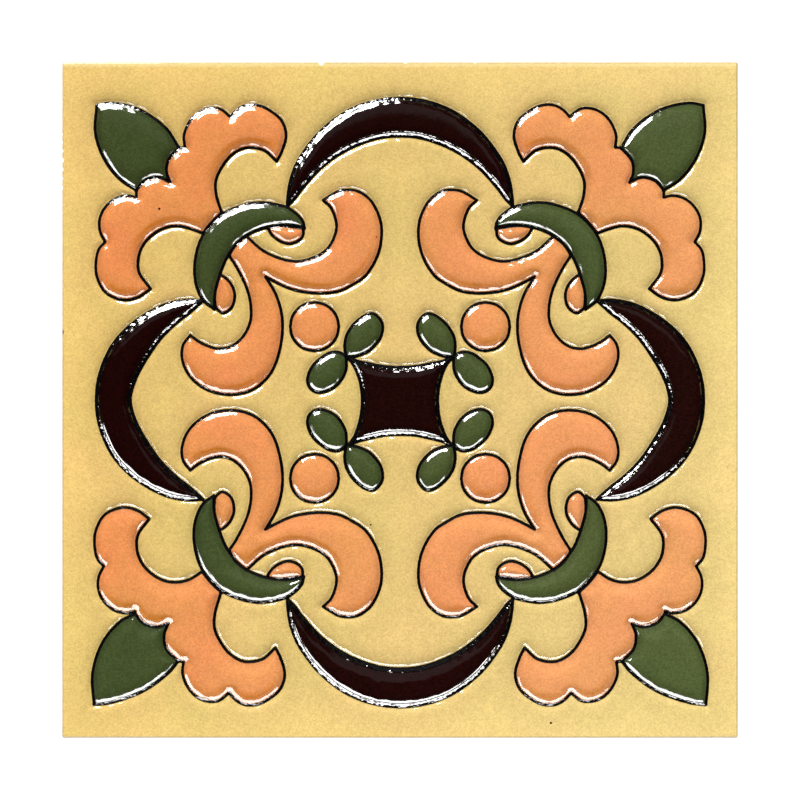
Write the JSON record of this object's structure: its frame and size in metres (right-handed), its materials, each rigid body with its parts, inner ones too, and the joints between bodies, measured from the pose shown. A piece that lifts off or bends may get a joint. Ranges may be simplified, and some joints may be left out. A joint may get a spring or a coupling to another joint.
{
  "type": "decorative tile",
  "caption": "Square glazed ceramic relief tile with scroll, palmette and crescent ornament in orange, green and dark brown on a mustard yellow ground.",
  "frame": {"origin": "middle of the flat back, on the surface that the tile lies on", "axes": "+X to the right and +Y to the top of the ornament as it is seen from the front, +Z out of the glazed face"},
  "size_m": [0.15, 0.15, 0.008],
  "materials": {
    "mustard_glaze": "satin mustard yellow glaze"
  },
  "bodies": {
    "root": {"tile": "mustard_glaze"}
  },
  "joints": []
}
